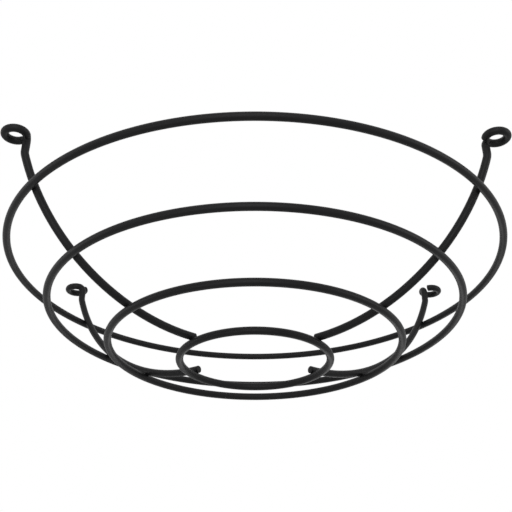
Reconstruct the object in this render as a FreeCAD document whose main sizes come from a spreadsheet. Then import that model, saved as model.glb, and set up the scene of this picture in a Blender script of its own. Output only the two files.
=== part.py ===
"""Bulb cage guard: four steel wire rings welded to the outside of four curved ribs.

The axis of the bowl is +Z, and the underside of the bottom ring is at z = 0. Each rib is one wire: a level
start on the bottom ring, a long arc past the other rings, a set to upright, a tight elbow and a round eye
that lies flat. The wire's diameter is taken over its coat. Lengths are in millimetres and angles in degrees.
"""
import FreeCAD, Part
import Sketcher
import math
import os

DRIVING_SIZES = (
    ("wire_diameter", 5.2),
    ("weld_set_down", 0.3),
    ("bottom_ring_radius", 51.25),
    ("ring_pitch_angle", 19.6),
    ("rib_arc_radius", 141.3),
    ("rib_tail", 2.5),
    ("rib_half_angle", 36.0),
    ("neck_lead_angle", 8.8),
    ("neck_inside_radius", 7.4),
    ("neck_length", 5.6),
    ("elbow_inside_radius", 1.15),
    ("eye_hole_diameter", 8.4),
    ("eye_gap", 0.7),
    ("end_rounding", 0.5),
)

# Rings in order up the ribs. Each lies one pitch further along the arc than the one before it.
RINGS = ("bottom_ring", "lower_ring", "upper_ring", "top_ring")

# Each rib's bearing about the axis, seen from above, from the right hand side of the guard.
RIB_BEARINGS = {
    "rib_back_right": "Sizes.rib_half_angle",
    "rib_back_left": "180 - Sizes.rib_half_angle",
    "rib_front_left": "180 + Sizes.rib_half_angle",
    "rib_front_right": "360 - Sizes.rib_half_angle",
}

Z_AXIS = FreeCAD.Vector(0, 0, 1)

# How a sketch numbers the points of a line or an arc, its own two axes, and its origin.
START, END, CENTRE = range(1, 4)
ACROSS_AXIS, UP_AXIS = range(-1, -3, -1)
ORIGIN = (ACROSS_AXIS, START)

doc = FreeCAD.newDocument("bulb_cage_guard")


def add_sheet(name, rows):
    """A sheet with one aliased cell for each named size."""
    sheet = doc.addObject("Spreadsheet::Sheet", name)
    for row, (alias, content) in enumerate(rows, start=1):
        sheet.set(f"A{row}", alias)
        sheet.set(f"B{row}", str(content))
        sheet.setAlias(f"B{row}", alias)
    doc.recompute()
    return sheet


def worked_sizes():
    """What follows from the driving sizes, in the plane of one rib: distances from the axis, and heights."""
    rows = [
        ("wire_radius", "=Sizes.wire_diameter / 2"),
        # The rib's arc and the circle through the ring wires on its outside share one centre.
        ("arc_centre_radius", "=Sizes.bottom_ring_radius - Sizes.rib_tail"),
        ("ring_reach", "=Sizes.rib_arc_radius + Sizes.wire_diameter - Sizes.weld_set_down"),
        ("first_station", "=asin(Sizes.rib_tail / ring_reach)"),
        ("arc_centre_height", "=wire_radius + ring_reach * cos(first_station)"),
        ("arc_start_height", "=arc_centre_height - Sizes.rib_arc_radius"),
    ]
    for step, ring in enumerate(RINGS):
        station = f"(first_station + {step} * Sizes.ring_pitch_angle * 1 deg)"
        rows.append((f"{ring}_radius", f"=arc_centre_radius + ring_reach * sin{station}"))
        rows.append((f"{ring}_height", f"=arc_centre_height - ring_reach * cos{station}"))
    top_step = len(RINGS) - 1
    rows += [
        # The arc runs on past the top ring, and a round set turns it upright.
        ("arc_sweep", f"=first_station + ({top_step} * Sizes.ring_pitch_angle + Sizes.neck_lead_angle) * 1 deg"),
        ("set_radius", "=Sizes.neck_inside_radius + wire_radius"),
        ("set_offset", "=Sizes.rib_arc_radius - set_radius"),
        ("set_centre_radius", "=arc_centre_radius + set_offset * sin(arc_sweep)"),
        ("set_centre_height", "=arc_centre_height - set_offset * cos(arc_sweep)"),
        ("neck_radius", "=set_centre_radius + set_radius"),
        ("neck_top", "=set_centre_height + Sizes.neck_length"),
        # The elbow runs into the eye's round, whose centre lies in the plane of the rib.
        ("elbow_radius", "=Sizes.elbow_inside_radius + wire_radius"),
        ("eye_radius", "=Sizes.eye_hole_diameter / 2 + wire_radius"),
        ("eye_offset", "=sqrt(elbow_radius ^ 2 + eye_radius ^ 2)"),
        ("eye_centre_radius", "=neck_radius + eye_offset"),
        ("eye_outer_radius", "=eye_centre_radius + eye_radius"),
        ("eye_height", "=neck_top + elbow_radius"),
        ("elbow_bearing", "=atan(elbow_radius / eye_radius)"),
        # The wire's end stops short of the neck by the eye's gap.
        ("eye_open_angle", "=asin((wire_radius + Sizes.eye_gap) / eye_offset)"),
    ]
    return rows


sizes = add_sheet("Sizes", DRIVING_SIZES)
worked = add_sheet("Worked", worked_sizes())


def value(alias):
    """A worked size as a plain number, where a sketch's first guess needs one."""
    content = getattr(worked, alias)
    return float(getattr(content, "Value", content))


def place(across, up):
    """A sketch point at two worked sizes."""
    return FreeCAD.Vector(value(across), value(up), 0)


def add_sketch(body, name, plane):
    """A sketch on one of the body's own origin planes."""
    sketch = body.newObject("Sketcher::SketchObject", f"{body.Name}_{name}")
    support = next(item for item in body.Origin.OriginFeatures if item.Role == plane)
    sketch.AttachmentSupport = [(support, "")]
    sketch.MapMode = "FlatFace"
    return sketch


def drive(sketch, name, expression, *constraint):
    """Adds a named constraint to the sketch and binds it to the sheets."""
    index = sketch.addConstraint(Sketcher.Constraint(*constraint))
    sketch.renameConstraint(index, name)
    sketch.setExpression(f".Constraints.{name}", expression)


def drive_point(sketch, name, geometry, point, across=None, up=None):
    """Holds a point at two worked sizes, or on the axis where a size isn't given."""
    for kind, axis, alias in (("DistanceX", UP_AXIS, across), ("DistanceY", ACROSS_AXIS, up)):
        if alias is None:
            sketch.addConstraint(Sketcher.Constraint("PointOnObject", geometry, point, axis))
        else:
            guess = value(alias)
            drive(sketch, f"{name}_{kind}", f"Worked.{alias}", kind, *ORIGIN, geometry, point, guess)


def add_wire_circle(sketch, name, across=None, up=None):
    """The round section of the wire, with its centre at two worked sizes."""
    centre = FreeCAD.Vector(value(across) if across else 0, value(up) if up else 0, 0)
    radius = value("wire_radius")
    circle = sketch.addGeometry(Part.Circle(centre, Z_AXIS, radius))
    drive(sketch, f"{name}_radius", "Worked.wire_radius", "Radius", circle, radius)
    drive_point(sketch, name, circle, CENTRE, across, up)


def add_ring(name):
    """One closed level ring of round wire."""
    ring = doc.addObject("Part::Torus", name)
    ring.setExpression("Radius1", f"Worked.{name}_radius")
    ring.setExpression("Radius2", "Worked.wire_radius")
    ring.setExpression("Placement.Base.z", f"Worked.{name}_height")
    return ring


def add_arm_path(body):
    """Centre line from the rib's level start to the top of its neck: arc, set and straight."""
    path = add_sketch(body, "arm_path", "XZ_Plane")
    level = math.radians(-90)
    set_start = level + math.radians(value("arc_sweep"))
    arc_circle = Part.Circle(place("arc_centre_radius", "arc_centre_height"), Z_AXIS, sizes.rib_arc_radius)
    set_circle = Part.Circle(place("set_centre_radius", "set_centre_height"), Z_AXIS, value("set_radius"))
    arc = path.addGeometry(Part.ArcOfCircle(arc_circle, level, set_start))
    upset = path.addGeometry(Part.ArcOfCircle(set_circle, set_start, 0))
    neck_line = Part.LineSegment(place("neck_radius", "set_centre_height"), place("neck_radius", "neck_top"))
    neck = path.addGeometry(neck_line)
    path.addConstraint(Sketcher.Constraint("Tangent", arc, END, upset, START))
    path.addConstraint(Sketcher.Constraint("Tangent", upset, END, neck, START))
    path.addConstraint(Sketcher.Constraint("Vertical", neck))
    path.addConstraint(Sketcher.Constraint("Vertical", arc, START, arc, CENTRE))
    drive(path, "arc_radius", "Sizes.rib_arc_radius", "Radius", arc, sizes.rib_arc_radius)
    drive(path, "set_radius", "Worked.set_radius", "Radius", upset, value("set_radius"))
    drive_point(path, "start", arc, START, "arc_centre_radius", "arc_start_height")
    drive_point(path, "neck_top", neck, END, "neck_radius", "neck_top")
    return path


def add_arm(body):
    """The rib's long arc with its set and neck, as wire swept along the centre line."""
    section = add_sketch(body, "arm_section", "YZ_Plane")
    section.setExpression("AttachmentOffset.Base.z", "Worked.arc_centre_radius")
    add_wire_circle(section, "wire", up="arc_start_height")
    path = add_arm_path(body)
    doc.recompute()
    arm = body.newObject("PartDesign::AdditivePipe", f"{body.Name}_arm")
    arm.Profile = section
    arm.Spine = (path, ["Edge1", "Edge2", "Edge3"])
    doc.recompute()


def add_elbow(body):
    """A quarter turn from the neck's top to level, about a line from the eye's centre past the neck."""
    section = add_sketch(body, "elbow_section", "XY_Plane")
    section.setExpression("AttachmentOffset.Base.z", "Worked.neck_top")
    add_wire_circle(section, "wire", across="neck_radius")
    eye_centre = FreeCAD.Vector(value("eye_centre_radius"), 0, 0)
    bearing = math.radians(180 - value("elbow_bearing"))
    reach = FreeCAD.Vector(math.cos(bearing), math.sin(bearing), 0) * value("eye_radius")
    axis = section.addGeometry(Part.LineSegment(eye_centre, eye_centre + reach), True)
    drive_point(section, "eye_centre", axis, START, across="eye_centre_radius")
    drive(section, "axis_length", "Worked.eye_radius", "Distance", axis, value("eye_radius"))
    drive(section, "axis_bearing", "180 deg - Worked.elbow_bearing", "Angle", axis, bearing)
    doc.recompute()
    elbow = body.newObject("PartDesign::Revolution", f"{body.Name}_elbow")
    elbow.Profile = section
    elbow.ReferenceAxis = (section, ["Axis0"])
    elbow.Angle = 90
    doc.recompute()


def add_eye(body):
    """The eye's flat round, turned both ways from its outermost point: back to the elbow, on to its end."""
    section = add_sketch(body, "eye_section", "XZ_Plane")
    add_wire_circle(section, "wire", "eye_outer_radius", "eye_height")
    foot = FreeCAD.Vector(value("eye_centre_radius"), 0, 0)
    axis = section.addGeometry(Part.LineSegment(foot, place("eye_centre_radius", "eye_height")), True)
    drive_point(section, "axis_foot", axis, START, across="eye_centre_radius")
    drive_point(section, "axis_head", axis, END, "eye_centre_radius", "eye_height")
    doc.recompute()
    eye = body.newObject("PartDesign::Revolution", f"{body.Name}_eye")
    eye.Profile = section
    eye.ReferenceAxis = (section, ["Axis0"])
    eye.Type = "TwoAngles"
    eye.setExpression("Angle", "180 deg - Worked.elbow_bearing")
    eye.setExpression("Angle2", "180 deg - Worked.eye_open_angle")
    doc.recompute()


def add_saddles(body):
    """Shallow saddles in the outside of the rib, where the rings are pressed in as they are welded."""
    section = add_sketch(body, "saddle_section", "XZ_Plane")
    for ring in RINGS:
        add_wire_circle(section, ring, f"{ring}_radius", f"{ring}_height")
    doc.recompute()
    saddles = body.newObject("PartDesign::Groove", f"{body.Name}_saddles")
    saddles.Profile = section
    saddles.ReferenceAxis = (section, ["V_Axis"])
    saddles.Angle = 360
    doc.recompute()
    return saddles


def round_ends(body, base):
    """Takes the sharp edge off the wire's two cut ends, which are its only flat faces."""
    edges = base.Shape.Edges
    flat_faces = [face for face in base.Shape.Faces if isinstance(face.Surface, Part.Plane)]
    rims = [edge for face in flat_faces for edge in face.Edges]
    names = [f"Edge{edges.index(edge) + 1}" for edge in edges if any(edge.isSame(rim) for rim in rims)]
    rounding = body.newObject("PartDesign::Fillet", f"{body.Name}_ends")
    rounding.Base = (base, names)
    rounding.setExpression("Radius", "Sizes.end_rounding")


def add_rib(name, bearing):
    """One bent wire rib, drawn in the XZ plane and turned to its bearing about the axis."""
    body = doc.addObject("PartDesign::Body", name)
    add_arm(body)
    add_elbow(body)
    add_eye(body)
    round_ends(body, add_saddles(body))
    body.Placement = FreeCAD.Placement(FreeCAD.Vector(), FreeCAD.Rotation(Z_AXIS, 90))
    body.setExpression("Placement.Rotation.Angle", f"({bearing}) * 1 deg")
    return body


nodes = [add_ring(name) for name in RINGS]
nodes += [add_rib(name, bearing) for name, bearing in RIB_BEARINGS.items()]
doc.recompute()

for item in doc.Objects:
    if {"Invalid", "Error"} & set(item.State):
        raise RuntimeError(f"{item.Label} did not build: {item.State}")
for node in nodes:
    if node.Shape.isNull() or not node.Shape.isValid() or len(node.Shape.Solids) != 1:
        raise RuntimeError(f"{node.Label} is not one valid solid")

os.makedirs("parts", exist_ok=True)
for node in nodes:
    node.Shape.exportStep(f"parts/{node.Label}.step")
    print(f"{node.Label}: {node.Shape.Volume:.1f} mm3")
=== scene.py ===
import math

import bpy
import numpy as np
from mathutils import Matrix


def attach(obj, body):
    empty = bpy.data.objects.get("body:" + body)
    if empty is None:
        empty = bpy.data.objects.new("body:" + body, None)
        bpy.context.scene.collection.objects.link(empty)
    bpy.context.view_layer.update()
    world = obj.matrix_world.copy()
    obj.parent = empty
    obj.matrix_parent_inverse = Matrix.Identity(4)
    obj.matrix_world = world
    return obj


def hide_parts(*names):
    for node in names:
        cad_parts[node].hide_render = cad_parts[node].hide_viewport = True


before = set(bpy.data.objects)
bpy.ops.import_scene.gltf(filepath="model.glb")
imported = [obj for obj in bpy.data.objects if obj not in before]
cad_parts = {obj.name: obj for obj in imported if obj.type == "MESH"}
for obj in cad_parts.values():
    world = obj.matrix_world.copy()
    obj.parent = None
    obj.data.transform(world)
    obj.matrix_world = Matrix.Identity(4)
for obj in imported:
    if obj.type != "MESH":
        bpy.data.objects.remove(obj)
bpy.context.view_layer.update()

# The four rings are hard drawn mild steel wire, rolled to a hoop, cut and butt welded, with the joint ground
# flush before coating. They lie level, one above the other, on the outside of the ribs.

MM = 0.001
WIRE_RADIUS = 2.6 * MM
WIRE_SIDES = 40
RING_STEP = 1.6 * MM

# The rib's long arc and the ring wires share one centre, in the plane of the rib. The rings stand off the arc
# by one wire, less the depth that the weld presses them in, and follow each other at an even pitch.
BOTTOM_RING_RADIUS = 51.25 * MM
ARC_RADIUS = 141.3 * MM
WELD_SET_DOWN = 0.3 * MM
RING_REACH = ARC_RADIUS + 2 * WIRE_RADIUS - WELD_SET_DOWN
RIB_TAIL = 2.5 * MM
ARC_CENTRE_RADIUS = BOTTOM_RING_RADIUS - RIB_TAIL
FIRST_STATION = math.asin(RIB_TAIL / RING_REACH)
ARC_CENTRE_HEIGHT = WIRE_RADIUS + RING_REACH * math.cos(FIRST_STATION)
RING_PITCH = math.radians(19.6)
RING_STATIONS = {
    name: FIRST_STATION + step * RING_PITCH
    for step, name in enumerate(("bottom_ring", "lower_ring", "upper_ring", "top_ring"))
}

# The coat is one satin black over the whole guard, a little paler and rougher where the powder lay thicker.
THIN_COAT_BLACK = "#121213"
THICK_COAT_BLACK = "#171718"
THIN_COAT_ROUGHNESS = 0.44
THICK_COAT_ROUGHNESS = 0.50
COAT_IOR = 1.25
TONE_WIDTH = 14 * MM
TONE_RANGE = (0.3, 0.7)
PEEL_WIDTH = 1.6 * MM
PEEL_DEPTH = 0.05 * MM
PEEL_STRENGTH = 1.0
GRAIN_WIDTH = 0.5 * MM
GRAIN_DEPTH = 0.02 * MM
GRAIN_STRENGTH = 0.6


def linear_colour(hex_colour):
    """The linear colour of an sRGB hex value, with full alpha."""
    srgb = [int(hex_colour[i:i + 2], 16) / 255 for i in (1, 3, 5)]
    return [c / 12.92 if c <= 0.04045 else ((c + 0.055) / 1.055) ** 2.4 for c in srgb] + [1.0]


def add_node(tree, kind, settings, **inputs):
    """Adds a node to a tree. Settings are its properties. Each input is a value or another node's socket,
    under the input's own name with underscores for spaces, or under its number after an underscore."""
    node = tree.nodes.new(kind)
    for key, value in settings.items():
        setattr(node, key, value)
    for key, value in inputs.items():
        socket = node.inputs[int(key[1:])] if key[1:].isdigit() else node.inputs[key.replace("_", " ")]
        if isinstance(value, bpy.types.NodeSocket):
            tree.links.new(value, socket)
        else:
            socket.default_value = value
    return node


def satin_black_powder_coat():
    """Polyester powder coat, sprayed dry and stoved on the finished guard.

    The melt leaves a low orange peel under a fine satin grain, drawn coarser than the real one so that it
    shows close up. From a step away the coat looks smooth, and its black is even, with a slow change of tone
    and gloss. A real coat's IOR is nearer 1.5. The lower one stands in for a room that is darker than this
    white studio.
    """
    material = bpy.data.materials.new("satin_black_powder_coat")
    material.use_nodes = True
    tree = material.node_tree
    shader = tree.nodes["Principled BSDF"]
    shader.inputs["IOR"].default_value = COAT_IOR
    where = add_node(tree, "ShaderNodeTexCoord", {}).outputs["Object"]
    cloud = add_node(tree, "ShaderNodeTexNoise", {}, Vector=where, Scale=1 / TONE_WIDTH, Detail=2.0)
    tone = add_node(tree, "ShaderNodeValToRGB", {}, Fac=cloud.outputs["Fac"])
    blacks = (THIN_COAT_BLACK, THICK_COAT_BLACK)
    for stop, position, black in zip(tone.color_ramp.elements, TONE_RANGE, blacks):
        stop.position = position
        stop.color = linear_colour(black)
    gloss = add_node(tree, "ShaderNodeMapRange", {}, Value=cloud.outputs["Fac"],
                     From_Min=TONE_RANGE[0], From_Max=TONE_RANGE[1],
                     To_Min=THIN_COAT_ROUGHNESS, To_Max=THICK_COAT_ROUGHNESS)
    peel = add_node(tree, "ShaderNodeTexNoise", {}, Vector=where, Scale=1 / PEEL_WIDTH, Detail=1.0)
    grain = add_node(tree, "ShaderNodeTexNoise", {}, Vector=where, Scale=1 / GRAIN_WIDTH, Detail=2.0)
    low = add_node(tree, "ShaderNodeBump", {}, Strength=PEEL_STRENGTH, Distance=PEEL_DEPTH,
                   Height=peel.outputs["Fac"])
    fine = add_node(tree, "ShaderNodeBump", {}, Strength=GRAIN_STRENGTH, Distance=GRAIN_DEPTH,
                    Height=grain.outputs["Fac"], Normal=low.outputs["Normal"])
    tree.links.new(tone.outputs["Color"], shader.inputs["Base Color"])
    tree.links.new(gloss.outputs["Result"], shader.inputs["Roughness"])
    tree.links.new(fine.outputs["Normal"], shader.inputs["Normal"])
    return material


coat = satin_black_powder_coat()


def add_piece(name, points, closed):
    """Puts a grid of surface points into a smooth mesh that rides on the guard.

    Each row is a loop round the wire, joined to the next row by quads. A closed piece's last row joins its
    first; an open one has a flat face on its first and last rows. A closed piece may hold several grids.
    """
    index = np.arange(points[..., 0].size).reshape(points.shape[:-1])
    near = index if closed else index[:-1]
    far = np.roll(index, -1, axis=-2) if closed else index[1:]
    quads = np.stack([near, far, np.roll(far, -1, axis=-1), np.roll(near, -1, axis=-1)], axis=-1)
    faces = quads.reshape(-1, 4).tolist()
    if not closed:
        faces += [index[0].tolist(), index[-1][::-1].tolist()]
    mesh = bpy.data.meshes.new(name)
    mesh.from_pydata(points.reshape(-1, 3), [], faces)
    mesh.shade_smooth()
    mesh.materials.append(coat)
    piece = bpy.data.objects.new(name, mesh)
    bpy.context.scene.collection.objects.link(piece)
    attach(piece, "root")
    return piece


def ring_surface(radius, height):
    """Torus. At bearing u and wire angle v, a point is radius plus the wire's radius times cos v from the
    axis, and the wire's radius times sin v above the ring's own height. Each quarter has the same rows."""
    quarter_rows = round(0.5 * math.pi * radius / RING_STEP)
    u = np.linspace(0, 2 * np.pi, 4 * quarter_rows, endpoint=False)[:, None]
    v = np.linspace(0, 2 * np.pi, WIRE_SIDES, endpoint=False)[None, :]
    reach = radius + WIRE_RADIUS * np.cos(v)
    level = height + WIRE_RADIUS * np.sin(v) + 0 * u
    return np.stack([reach * np.cos(u), reach * np.sin(u), level], axis=-1)


for ring_name, station in RING_STATIONS.items():
    ring_radius = ARC_CENTRE_RADIUS + RING_REACH * math.sin(station)
    ring_height = ARC_CENTRE_HEIGHT - RING_REACH * math.cos(station)
    ring = add_piece(f"{ring_name}_wire", ring_surface(ring_radius, ring_height), closed=True)
    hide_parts(ring_name)

# The four ribs are the same wire, cut to length and cold bent on a wire former: a long arc that starts level
# on the bottom ring, a set to upright, a straight neck, a tight elbow, and a flat eye for the screw that
# holds the guard to a shade.

RIB_HALF_ANGLE = math.radians(36)
RIB_BEARINGS = {
    "rib_back_right": RIB_HALF_ANGLE,
    "rib_back_left": math.pi - RIB_HALF_ANGLE,
    "rib_front_left": math.pi + RIB_HALF_ANGLE,
    "rib_front_right": -RIB_HALF_ANGLE,
}
NECK_LEAD = math.radians(8.8)
ARC_SWEEP = RING_STATIONS["top_ring"] + NECK_LEAD
SET_RADIUS = 10 * MM
NECK_LENGTH = 5.6 * MM
ELBOW_RADIUS = 3.75 * MM
EYE_RADIUS = 6.8 * MM
EYE_GAP = 0.7 * MM
END_ROUNDING = 0.5 * MM
ELBOW_BEARING = math.atan(ELBOW_RADIUS / EYE_RADIUS)
EYE_OPEN_ANGLE = math.asin((WIRE_RADIUS + EYE_GAP) / math.hypot(ELBOW_RADIUS, EYE_RADIUS))
EYE_SWEEP = 2 * math.pi - ELBOW_BEARING - EYE_OPEN_ANGLE
ARC_ROWS = 110
SET_ROWS = 12
NECK_ROWS = 5
ELBOW_ROWS = 24
EYE_ROWS = 90
ROUNDING_ROWS = 8


def turned(vector, axis, angles):
    """A vector turned about an axis by each of some angles: its part along the axis stays, and the rest keeps
    its cosine share and gains the sine share of the axis crossed with it (Rodrigues)."""
    axis, vector = np.asarray(axis, float), np.asarray(vector, float)
    cosine, sine = np.cos(angles)[:, None], np.sin(angles)[:, None]
    return vector * cosine + np.cross(axis, vector) * sine + axis * (axis @ vector) * (1 - cosine)


def rib_path():
    """The rib's centre line in rows, from its cut end on the bottom ring, with the arc in the plane of y = 0.

    A bend is an axis, a radius and its rows' distances along the wire: the point and the wire's two cross
    directions turn together about the bend's centre, so the wire never twists. A straight has no axis. Gives
    each row's place, its directions across and above, and its distance from the cut end.
    """
    rounding = END_ROUNDING * (1 - np.cos(np.linspace(0, np.pi / 2, ROUNDING_ROWS)))
    arc_length, eye_length = ARC_RADIUS * ARC_SWEEP, EYE_RADIUS * EYE_SWEEP
    arc_along = np.linspace(END_ROUNDING, arc_length, ARC_ROWS)
    set_along = np.linspace(0, SET_RADIUS * (math.pi / 2 - ARC_SWEEP), SET_ROWS)
    neck_along = np.linspace(0, NECK_LENGTH, NECK_ROWS)
    elbow_along = np.linspace(0, ELBOW_RADIUS * math.pi / 2, ELBOW_ROWS)
    eye_along = np.linspace(0, eye_length - END_ROUNDING, EYE_ROWS)
    elbow_axis = (-math.cos(ELBOW_BEARING), math.sin(ELBOW_BEARING), 0)
    bends = (
        ((0, -1, 0), ARC_RADIUS, np.append(rounding, arc_along[1:])),
        ((0, -1, 0), SET_RADIUS, set_along),
        (None, None, neck_along),
        (elbow_axis, ELBOW_RADIUS, elbow_along),
        ((0, 0, -1), EYE_RADIUS, np.append(eye_along, eye_length - rounding[-2::-1])),
    )
    point = np.array([ARC_CENTRE_RADIUS, 0, ARC_CENTRE_HEIGHT - ARC_RADIUS])
    heading, across, above = np.eye(3)
    places, acrosses, aboves, distances = [[point]], [[across]], [[above]], [[0.0]]
    for axis, radius, along in bends:
        if axis is None:
            path = point + along[:, None] * heading
            across_path, above_path = np.tile(across, (len(along), 1)), np.tile(above, (len(along), 1))
        else:
            turns = along / radius
            centre = point + radius * np.cross(axis, heading)
            path = centre + turned(point - centre, axis, turns)
            across_path, above_path = turned(across, axis, turns), turned(above, axis, turns)
            heading = turned(heading, axis, turns)[-1]
        places.append(path[1:])
        acrosses.append(across_path[1:])
        aboves.append(above_path[1:])
        distances.append(distances[-1][-1] + along[1:])
        point, across, above = path[-1], across_path[-1], above_path[-1]
    return [np.concatenate(rows) for rows in (places, acrosses, aboves, distances)]


def rib_surface():
    """Wire carried along the rib's path. At wire angle v, a point is the section's radius times cos v above
    the path and times sin v across it. The section's radius is the wire's, but within the rounding of an end
    it follows a quarter circle."""
    places, across, above, distances = rib_path()
    depth = np.minimum(np.minimum(distances, distances[-1] - distances), END_ROUNDING)
    quarter_circle = np.sqrt(END_ROUNDING ** 2 - (END_ROUNDING - depth) ** 2)
    section = (WIRE_RADIUS - END_ROUNDING + quarter_circle)[:, None, None]
    v = np.linspace(0, 2 * np.pi, WIRE_SIDES, endpoint=False)[None, :, None]
    return places[:, None] + section * (np.cos(v) * above[:, None] + np.sin(v) * across[:, None])


def about_the_axis(points, bearing):
    """Points turned about the guard's upright axis to a bearing."""
    c, s = math.cos(bearing), math.sin(bearing)
    return points @ np.array([[c, s, 0], [-s, c, 0], [0, 0, 1]])


for rib_name, bearing in RIB_BEARINGS.items():
    rib = add_piece(f"{rib_name}_wire", about_the_axis(rib_surface(), bearing), closed=False)
    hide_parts(rib_name)

# Each rib is resistance welded to each ring where they cross. The wires are pressed into each other without a
# bead, and the coat runs into the crease round the joint and fills it with a small fillet.

FILLET_REACH = 1.5 * MM
FILLET_ROOT = 0.05 * MM
FILLET_ROWS = 64
FILLET_STEPS = 9
FILLET_CORE_REACH = 0.5 * MM
FILLET_CORE_RISE = 0.6 * MM


def fillet_surface(station):
    """A band round one joint of a rib in the plane of y = 0.

    At direction u round the joint, the profile v goes from the rib's surface to the ring's, both at the
    fillet's reach from the joint's middle, on a quadratic curve whose middle point is where the two surfaces'
    tangents meet. Its edges are rooted a little below the surfaces, and it comes back through two points
    inside the wires.
    """
    u = np.linspace(0, 2 * np.pi, FILLET_ROWS, endpoint=False)[:, None]
    v = np.linspace(0, 1, FILLET_STEPS)[None, :]
    half_gap = WIRE_RADIUS - WELD_SET_DOWN / 2
    ring_rise = np.sqrt(WIRE_RADIUS ** 2 - (FILLET_REACH * np.sin(u)) ** 2)
    rib_rise = np.sqrt(WIRE_RADIUS ** 2 - (FILLET_REACH * np.cos(u)) ** 2)
    ring_level, ring_slope = half_gap - ring_rise, FILLET_REACH * np.sin(u) ** 2 / ring_rise
    rib_level, rib_slope = rib_rise - half_gap, -FILLET_REACH * np.cos(u) ** 2 / rib_rise
    crease = FILLET_REACH - (ring_level - rib_level) / (ring_slope - rib_slope)
    crease_level = ring_level + ring_slope * (crease - FILLET_REACH)
    first, middle, last = (1 - v) ** 2, 2 * v * (1 - v), v ** 2
    reach = (first + last) * FILLET_REACH + middle * crease
    level = first * (rib_level - FILLET_ROOT) + middle * crease_level + last * (ring_level + FILLET_ROOT)
    core_reach, core_rise = np.full_like(u, FILLET_CORE_REACH), np.full_like(u, FILLET_CORE_RISE)
    reach = np.concatenate([reach, core_reach, core_reach], axis=1)[..., None]
    level = np.concatenate([level, core_rise, -core_rise], axis=1)[..., None]
    out = np.array([math.sin(station), 0, -math.cos(station)])
    along_rib, along_ring = np.array([math.cos(station), 0, math.sin(station)]), np.array([0, 1, 0])
    joint = np.array([ARC_CENTRE_RADIUS, 0, ARC_CENTRE_HEIGHT]) + (RING_REACH - half_gap) * out
    around = np.cos(u)[..., None] * along_ring + np.sin(u)[..., None] * along_rib
    return joint + reach * around + level * out


fillets = np.stack([
    about_the_axis(fillet_surface(station), bearing)
    for station in RING_STATIONS.values() for bearing in RIB_BEARINGS.values()
])
add_piece("weld_fillets", fillets, closed=True)

# The stage is a plain pale floor well below the guard, which hangs in use, with white all round it. Rays that
# show the floor or the sky, straight or mirrored, see them paler than the light that they shed.

FLOOR_LEVEL = -1.0
FLOOR_REACH = 40.0
FLOOR_GREY = "#e4e4e4"
FLOOR_ROUGHNESS = 0.9
FLOOR_GLOW = 0.4
WHITE = "#ffffff"
SKY_LIGHT = 0.45
SKY_SHOWN = 1.0


def showing_rays(tree):
    """A socket that is 1 for rays from the camera, a mirror or glass, and 0 for others."""
    ray = add_node(tree, "ShaderNodeLightPath", {}).outputs
    mirrored = add_node(tree, "ShaderNodeMath", {"operation": "MAXIMUM"}, _0=ray["Is Glossy Ray"],
                        _1=ray["Is Transmission Ray"])
    seen = add_node(tree, "ShaderNodeMath", {"operation": "MAXIMUM"}, _0=ray["Is Camera Ray"],
                    _1=mirrored.outputs[0])
    return seen.outputs[0]


floor_material = bpy.data.materials.new("pale_matt_floor")
floor_material.use_nodes = True
floor_tree = floor_material.node_tree
floor_shader = floor_tree.nodes["Principled BSDF"]
floor_shader.inputs["Base Color"].default_value = linear_colour(FLOOR_GREY)
floor_shader.inputs["Roughness"].default_value = FLOOR_ROUGHNESS
floor_shader.inputs["Emission Color"].default_value = linear_colour(WHITE)
glow = add_node(floor_tree, "ShaderNodeMath", {"operation": "MULTIPLY"}, _0=showing_rays(floor_tree),
                _1=FLOOR_GLOW)
floor_tree.links.new(glow.outputs[0], floor_shader.inputs["Emission Strength"])

corners = np.array([(-1, -1), (1, -1), (1, 1), (-1, 1)]) * FLOOR_REACH
floor_mesh = bpy.data.meshes.new("floor")
floor_mesh.from_pydata(np.insert(corners, 2, FLOOR_LEVEL, axis=1), [], [(0, 1, 2, 3)])
floor_mesh.materials.append(floor_material)
floor = bpy.data.objects.new("floor", floor_mesh)
bpy.context.scene.collection.objects.link(floor)

world = bpy.data.worlds.new("white_studio")
bpy.context.scene.world = world
world.use_nodes = True
sky = world.node_tree
sky.nodes.clear()
shed = add_node(sky, "ShaderNodeBackground", {}, Color=linear_colour(WHITE), Strength=SKY_LIGHT)
shown = add_node(sky, "ShaderNodeBackground", {}, Color=linear_colour(WHITE), Strength=SKY_SHOWN)
both = add_node(sky, "ShaderNodeMixShader", {}, _0=showing_rays(sky), _1=shed.outputs[0], _2=shown.outputs[0])
add_node(sky, "ShaderNodeOutputWorld", {}, Surface=both.outputs[0])

# Six square soft boxes stand round the guard, each with a grid that keeps its beam off the near floor.

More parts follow.
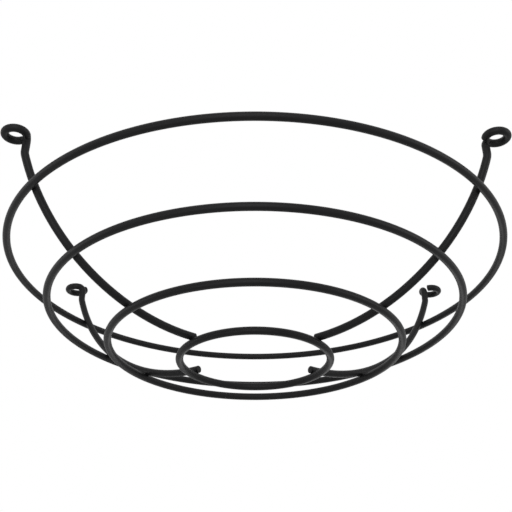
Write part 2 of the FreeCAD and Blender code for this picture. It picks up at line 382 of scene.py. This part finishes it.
GUARD_MIDDLE = (0, 0, 50 * MM)
LAMP_SPREAD = math.radians(100)


def add_lamp(name, place, size, watts):
    """A square soft box at a place. It faces straight down until it is tilted by the angle between that and
    its line to the guard's middle, and swung to that line's bearing."""
    light = bpy.data.lights.new(name, "AREA")
    light.size = size
    light.spread = LAMP_SPREAD
    light.energy = watts
    lamp = bpy.data.objects.new(name, light)
    lamp.location = place
    lamp.visible_camera = False
    way = np.subtract(GUARD_MIDDLE, place)
    tilt = math.acos(-way[2] / np.linalg.norm(way))
    lamp.rotation_euler = (tilt, 0, math.atan2(way[1], way[0]) - math.pi / 2)
    bpy.context.scene.collection.objects.link(lamp)


add_lamp("front_high_lamp", place=(-0.08, -1.54, 0.50), size=0.6, watts=1.3)
add_lamp("front_low_lamp", place=(-0.08, -1.56, -0.30), size=0.6, watts=1.3)
add_lamp("front_left_lamp", place=(-0.83, -1.19, -0.63), size=0.6, watts=0.65)
add_lamp("left_lamp", place=(-1.60, 0, 0.05), size=0.7, watts=0.65)
add_lamp("right_lamp", place=(1.54, -0.41, 0.19), size=0.7, watts=1.35)
add_lamp("back_lamp", place=(0.26, 1.50, -0.44), size=0.7, watts=0.6)

# The camera stands below and in front of the guard and looks up into it. Its lens and sensor are in
# millimetres, and its shifts are shares of the picture's width.

CAMERA_PLACE = (-5.06 * MM, -529.05 * MM, -204.37 * MM)
CAMERA_TILT = math.radians(122.03)
CAMERA_TURN = math.radians(-0.548)
SENSOR_WIDTH = 36
LENS_LENGTH = 57.70
PICTURE_SHIFT = (0.0021, -0.0970)

camera_data = bpy.data.cameras.new("camera")
camera_data.sensor_width = SENSOR_WIDTH
camera_data.lens = LENS_LENGTH
camera_data.shift_x, camera_data.shift_y = PICTURE_SHIFT
camera = bpy.data.objects.new("camera", camera_data)
camera.location = CAMERA_PLACE
camera.rotation_euler = (CAMERA_TILT, 0, CAMERA_TURN)
bpy.context.scene.collection.objects.link(camera)
bpy.context.scene.camera = camera

bpy.context.scene.view_settings.view_transform = "Standard"
